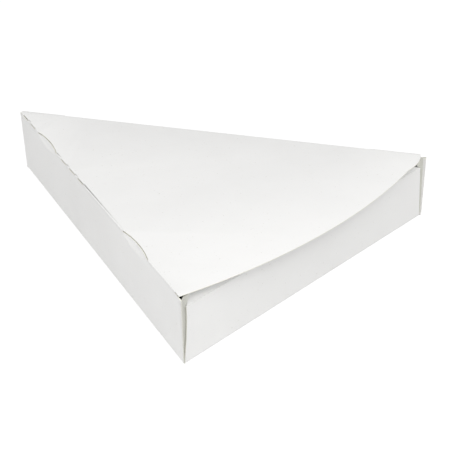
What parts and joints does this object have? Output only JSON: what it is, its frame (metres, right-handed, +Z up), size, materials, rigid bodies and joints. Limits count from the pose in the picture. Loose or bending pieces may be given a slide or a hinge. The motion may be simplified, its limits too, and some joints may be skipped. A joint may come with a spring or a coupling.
{
  "type": "triangular pizza box",
  "caption": "Triangular paperboard carton for a slice of pizza, with a hinged lid whose rounded crust edge overhangs a fold-down front flap.",
  "frame": {"origin": "on the underside of the base, halfway along the box from the sharp tip to the lid's crust edge, on the line that halves the tip's angle", "axes": "+X from the tip towards the crust end, +Y towards the rear wall that the lid tucks into, +Z up"},
  "size_m": [0.2287, 0.1814, 0.035],
  "materials": {
    "tray_board": "matte",
    "lid_board": "matte",
    "flap_board": "matte"
  },
  "bodies": {
    "tray": {"tray": "tray_board"},
    "lid": {"lid": "lid_board"},
    "front_flap": {"front_flap": "flap_board"}
  },
  "joints": [
    {"name": "lid_hinge", "type": "hinge", "parent": "tray", "child": "lid", "pos_m": [-0.00675, -0.04496, 0.03435], "axis": [0.9239, -0.3827, 0], "range_deg": [0, 180]},
    {"name": "front_flap_hinge", "type": "hinge", "parent": "tray", "child": "front_flap", "pos_m": [0.10181, 0, 0], "axis": [0, 1, 0], "range_deg": [0, 90]}
  ]
}
